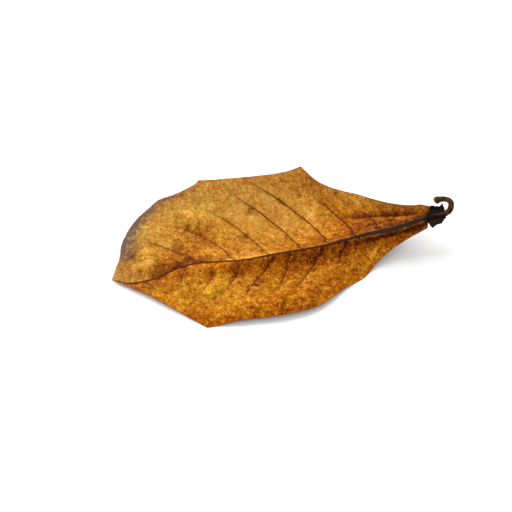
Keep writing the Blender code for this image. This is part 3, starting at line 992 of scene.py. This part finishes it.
# How much the mottles deepen the colour, around the depth that the tones have
MOTTLE_DEPTH, TONE_DEPTH = 2.1, 1.02
# Net of fine scuffs, dots and hues: their size in millimetres. Scuffs are paler, dots browner.
SCUFFS, DOTS, HUES = 3.4, 2.1, 8.0
SCUFF_BROWN, DOT_BROWN = -0.16, 0.4
# The painted grey sheen lies on the mottles, and never hides the skin fully
SHEEN_CONTRAST, SHEEN_START, MOST_SHEEN = 3.2, -0.6, 0.88
# Half width of a vein's dark line, where it begins and where it is full
VEIN_LINE = (0.7, 0.2)
# Painted shade on the tip side of a vein, where its sunken groove is in shadow: how far it reaches, how
# brown it makes the tone, and how many times that near the midrib
SHADE_REACH, VEIN_SHADE_DEPTH, INNER_SHADE = 3.0, 0.16, 1.5
# Along the midrib the woody brown goes over to the veins' brown between these
WOODY_END = (50.0, 120.0)
# The margin's dark rim: how far inwards it begins and is full, and how much of the skin it hides
CUT_EDGE, CUT_SHARE = (0.8, 0.2), 0.65
# The burnt base fades out between these distances along the midrib, less this share of the distance out,
# and less up to this much by the mottles, which fray it
BURNT_END = (18.5, 14.0)
BURNT_LEAN, BURNT_FRAY = 0.45, 8.0


def dried_blade(name, looks, roughness):
    """Material of one face of the blade."""
    material, tree, shader = new_material(name)
    shade = {key: colour(code) for key, code in looks.items() if key != "tones"}
    spot = add(tree, "TexCoord", {}, out=3)
    (count, gap, ink), (along, outs, to_rim), (rib, side, olive), (tone, bloom, warmth) = (
        [add(tree, "SeparateXYZ", {0: layer}, out=i) for i in range(3)]
        for layer in (
            add(tree, "Attribute", {}, out=1, attribute_name=written)
            for written in ("veins", "place", "marks", "tone_and_sheen")
        )
    )

    # The dullest parts of the skin are also the most even
    lively = add(tree, "MapRange", {0: warmth, 1: 0.1, 2: 0.7, 3: DULL_SHARE, 4: 1.0})
    for size, detail, amount in (CLOUDS, PATCHES, MOTTLES):
        mottles = add(
            tree, "TexNoise", {"Vector": spot, "Scale": per_mm(size), "Detail": detail, "Roughness": 1.0}
        )
        swing = add(tree, "Math", {0: mottles, 1: 0.5}, operation="SUBTRACT")
        swing = add(tree, "Math", {0: swing, 1: lively}, operation="MULTIPLY")
        tone = add(tree, "Math", {0: swing, 1: amount, 2: tone}, operation="MULTIPLY_ADD")
    scuffs = add(tree, "TexNoise", {"Vector": spot, "Scale": per_mm(SCUFFS), "Detail": 1.0})
    scuffs = add(tree, "Math", {0: scuffs, 1: 0.5}, operation="SUBTRACT")
    scuffs = add(tree, "Math", {0: scuffs}, operation="ABSOLUTE")
    scuffs = add(tree, "MapRange", {0: scuffs, 1: 0.0, 2: 0.05, 3: SCUFF_BROWN, 4: 0.0}, **EASED)
    tone = add(tree, "Math", {0: tone, 1: scuffs}, operation="ADD")
    dots = add(tree, "TexNoise", {"Vector": spot, "Scale": per_mm(DOTS), "Detail": 1.0, "Roughness": 0.7})
    dots = add(tree, "MapRange", {0: dots, 1: 0.58, 2: 0.8, 4: DOT_BROWN}, **EASED)
    tone = add(tree, "Math", {0: tone, 1: dots}, operation="ADD")

    # Painted shade beside a vein: darker on the tip side of its sunken groove, most of all near the midrib
    off = add(tree, "Math", {0: count, 1: 0.5, 2: -0.5}, operation="WRAP")
    off = add(tree, "Math", {0: off, 1: gap}, operation="MULTIPLY")
    behind = add(tree, "MapRange", {0: off, 1: -0.2, 2: 0.2}, **EASED)
    fading = add(tree, "MapRange", {0: off, 1: 0.3, 2: SHADE_REACH, 3: VEIN_SHADE_DEPTH, 4: 0.0}, **EASED)
    inner = add(tree, "MapRange", {0: outs, 1: 2.0, 2: 20.0, 3: INNER_SHADE, 4: 1.0}, **EASED)
    vein_shade = add(tree, "Math", {0: behind, 1: fading}, operation="MULTIPLY")
    vein_shade = add(tree, "Math", {0: vein_shade, 1: ink}, operation="MULTIPLY")
    vein_shade = add(tree, "Math", {0: vein_shade, 1: inner}, operation="MULTIPLY")
    tone = add(tree, "Math", {0: tone, 1: vein_shade}, operation="ADD")

    # From brown to colour, tinted by three sets of hues: ruddy or greenish clouds, warm zones, olive zones
    tone = add(tree, "MapRange", {0: tone, 1: PALEST, 2: MOST_BROWNED})
    tones = [colour(code) for code in looks["tones"].split()]
    skin = add(tree, "ValToRGB", {0: tone}, ramp=tones)
    hues = add(tree, "TexNoise", {"Vector": spot, "Scale": per_mm(HUES), "Detail": 4.0, "Roughness": 0.9})
    hues = add(tree, "MapRange", {0: hues, 1: 0.4, 2: 0.6})
    hues = add(tree, "Mix", {0: hues, 6: colour(RUDDY), 7: colour(GREENISH)}, **COLOURS)
    for share, tint in ((1.0, hues), (warmth, shade["warm"]), (olive, colour(OLIVE))):
        skin = add(tree, "Mix", {0: share, 6: skin, 7: tint}, **COLOURS, blend_type="MULTIPLY")
    # Browner cells are also deeper in colour, and paler ones greyer
    depth = add(tree, "Math", {0: swing, 1: MOTTLE_DEPTH, 2: TONE_DEPTH}, operation="MULTIPLY_ADD")
    skin = add(tree, "Gamma", {"Color": skin, "Gamma": depth})
    # Painted grey sheen, patchy with the mottles
    sheen_share = add(tree, "Math", {0: mottles, 1: SHEEN_CONTRAST, 2: SHEEN_START}, operation="MULTIPLY_ADD")
    sheen_share = add(tree, "Math", {0: sheen_share, 1: bloom}, operation="MULTIPLY")
    sheen_share = add(tree, "Math", {0: sheen_share, 1: MOST_SHEEN}, operation="MINIMUM")

    # The veins' dark lines, and the midrib but for its near flank, which has the blade's colour
    off = add(tree, "Math", {0: off}, operation="ABSOLUTE")
    line = add(tree, "MapRange", {0: off, 1: VEIN_LINE[0], 2: VEIN_LINE[1]}, **EASED)
    line = add(tree, "Math", {0: line, 1: ink}, operation="MULTIPLY")
    bare = add(tree, "MapRange", {0: side, 1: -0.95, 2: -0.65}, **EASED)
    ribbed = add(tree, "Math", {0: rib, 1: bare}, operation="MULTIPLY")
    thinner = add(tree, "MapRange", {0: along, 1: WOODY_END[0], 2: WOODY_END[1]})
    woody = add(tree, "Mix", {0: thinner, 6: shade["rib"], 7: shade["vein"]}, **COLOURS)
    edge = add(tree, "MapRange", {0: to_rim, 1: CUT_EDGE[0], 2: CUT_EDGE[1], 4: CUT_SHARE}, **EASED)

    # The burnt base, which is paler on the torn flap of the near half
    frayed = add(tree, "Math", {0: outs, 1: BURNT_LEAN, 2: along}, operation="MULTIPLY_ADD")
    frayed = add(tree, "Math", {0: mottles, 1: BURNT_FRAY, 2: frayed}, operation="MULTIPLY_ADD")
    burnt = add(tree, "MapRange", {0: frayed, 1: BURNT_END[0], 2: BURNT_END[1]}, **EASED)
    flap = add(tree, "MapRange", {0: side, 1: -0.9, 2: -1.0})
    charred = add(tree, "Mix", {0: flap, 6: shade["burnt"], 7: shade["flap"]}, **COLOURS)
    for share, tint in (
        (sheen_share, shade["bloom"]),
        (line, shade["vein"]),
        (ribbed, woody),
        (edge, shade["edge"]),
        (burnt, charred),
    ):
        skin = add(tree, "Mix", {0: share, 6: skin, 7: tint}, **COLOURS)
    tree.links.new(skin, shader.inputs["Base Color"])

    bump = add(tree, "Bump", {"Strength": 0.5, "Distance": 0.3 * MM, "Height": mottles})
    tree.links.new(bump, shader.inputs["Normal"])
    shader.inputs["Roughness"].default_value = roughness
    shader.inputs["Specular IOR Level"].default_value = BLADE_SPECULAR
    return material


# The stalk's blotches and the scar at its end in millimetres: the scar begins here and is full there
BLOTCHES = 2.5
SCAR = (2.4, 0.8)
BARK, WORN_BARK, SCAR_TISSUE = "#2C1B0C", "#4C341A", "#5A2C18"


def withered_stalk():
    """Dry leaf stalk: woody and nearly black. Gives the eye a dull dark brown with lighter blotches."""
    material, tree, shader = new_material("withered_stalk")
    spot = add(tree, "TexCoord", {}, out=3)
    blotches = add(tree, "TexNoise", {"Vector": spot, "Scale": per_mm(BLOTCHES), "Detail": 3.0})
    worn = add(tree, "MapRange", {0: blotches, 1: 0.4, 2: 0.65}, **EASED)
    bark = add(tree, "Mix", {0: worn, 6: colour(BARK), 7: colour(WORN_BARK)}, **COLOURS)
    from_end = add(tree, "Attribute", {}, out=1, attribute_name="place")
    from_end = add(tree, "SeparateXYZ", {0: from_end})
    scar = add(tree, "MapRange", {0: from_end, 1: SCAR[0], 2: SCAR[1]}, **EASED)
    bark = add(tree, "Mix", {0: scar, 6: bark, 7: colour(SCAR_TISSUE)}, **COLOURS)
    tree.links.new(bark, shader.inputs["Base Color"])
    bump = add(tree, "Bump", {"Strength": 0.5, "Distance": 0.2 * MM, "Height": blotches})
    tree.links.new(bump, shader.inputs["Normal"])
    shader.inputs["Roughness"].default_value = 0.6
    shader.inputs["Specular IOR Level"].default_value = 0.06
    return material


def table_top():
    """Matt white table: gives the eye a plain pale ground that takes the soft shadow."""
    material, _, shader = new_material("matt_white_table")
    shader.inputs["Base Color"].default_value = colour("#EDEDED")
    shader.inputs["Roughness"].default_value = 0.9
    shader.inputs["Specular IOR Level"].default_value = 0.1
    return material


def centre(pieces):
    """Moves the drawn pieces sideways until the middle of their box is where the solid's is."""
    low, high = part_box("leaf")
    drawn = np.concatenate([np.array([vert.co for vert in piece.data.vertices]) for piece in pieces])
    middle = (drawn.min(axis=0) + drawn.max(axis=0)) / 2
    shift = Vector(((low[0] + high[0]) / 2 - middle[0], (low[1] + high[1]) / 2 - middle[1], 0.0))
    for piece in pieces:
        for vert in piece.data.vertices:
            vert.co += shift
    return shift


# The camera looks along +Y, turned towards +X, and down, in degrees, at a spot of the table in millimetres
# of the leaf's drawn frame. Its distance is in metres and its lens in millimetres.
CAMERA_TURN, CAMERA_ELEVATION = 9.8, 48.0
CAMERA_AIM = (-14.7, 7.3)
CAMERA_DISTANCE, CAMERA_LENS = 0.9, 108.0

# Table and lights in metres and watts. For each lamp: the direction to it, its distance, width and power
TABLE_SIZE = 8.0
# The table's top is this far under the leaf, in millimetres, so that the two don't lie in one plane
TABLE_GAP = 0.02
ROOM_LIGHT = 0.55
LAMPS = (
    ((-0.35, 0.6, 0.65), 1.5, 2.0, 38.0),
    ((-0.3, -0.5, 0.6), 1.5, 2.0, 12.0),
)


def studio(shift):
    """Pale table, soft light and the camera, which looks down on the leaf as the photograph does."""
    bm = bmesh.new()
    bmesh.ops.create_grid(bm, x_segments=1, y_segments=1, size=TABLE_SIZE / 2)
    mesh = bpy.data.meshes.new("table")
    bm.to_mesh(mesh)
    bm.free()
    mesh.materials.append(table_top())
    table = new_object("table", mesh)
    table.location.z = -TABLE_GAP * MM

    world = bpy.data.worlds.new("studio")
    world.use_nodes = True
    world.node_tree.nodes["Background"].inputs["Color"].default_value = (1.0, 1.0, 1.0, 1.0)
    world.node_tree.nodes["Background"].inputs["Strength"].default_value = ROOM_LIGHT
    bpy.context.scene.world = world

    for direction, distance, size, watts in LAMPS:
        light = bpy.data.lights.new("softbox", "AREA")
        light.shape = "DISK"
        light.size = size
        light.energy = watts
        lamp = new_object("softbox", light)
        towards = Vector(direction).normalized()
        lamp.location = towards * distance
        lamp.rotation_euler = (-towards).to_track_quat("-Z", "Y").to_euler()

    turn, tilt = math.radians(CAMERA_TURN), math.radians(CAMERA_ELEVATION)
    sight = Vector((math.sin(turn) * math.cos(tilt), math.cos(turn) * math.cos(tilt), -math.sin(tilt)))
    lens = bpy.data.cameras.new("camera")
    lens.lens = CAMERA_LENS
    lens.sensor_width = 36.0
    lens.clip_start = 0.01
    camera = new_object("camera", lens)
    aim = Vector((CAMERA_AIM[0] * MM, CAMERA_AIM[1] * MM, 0.0)) + shift
    camera.location = aim - sight * CAMERA_DISTANCE
    camera.rotation_euler = sight.to_track_quat("-Z", "Y").to_euler()
    bpy.context.scene.camera = camera
    bpy.context.scene.view_settings.view_transform = "Standard"


def main():
    upper = dried_blade("dried_leaf_upper_face", UPPER_LOOKS, UPPER_ROUGHNESS)
    lower = dried_blade("dried_leaf_underside", LOWER_LOOKS, LOWER_ROUGHNESS)
    blade = blade_object(Blade(), (upper, lower))
    stalk = stalk_object(withered_stalk())
    shift = centre((blade, stalk))
    for piece in (blade, stalk):
        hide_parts("leaf")
        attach(piece, "root")
    studio(shift)


main()
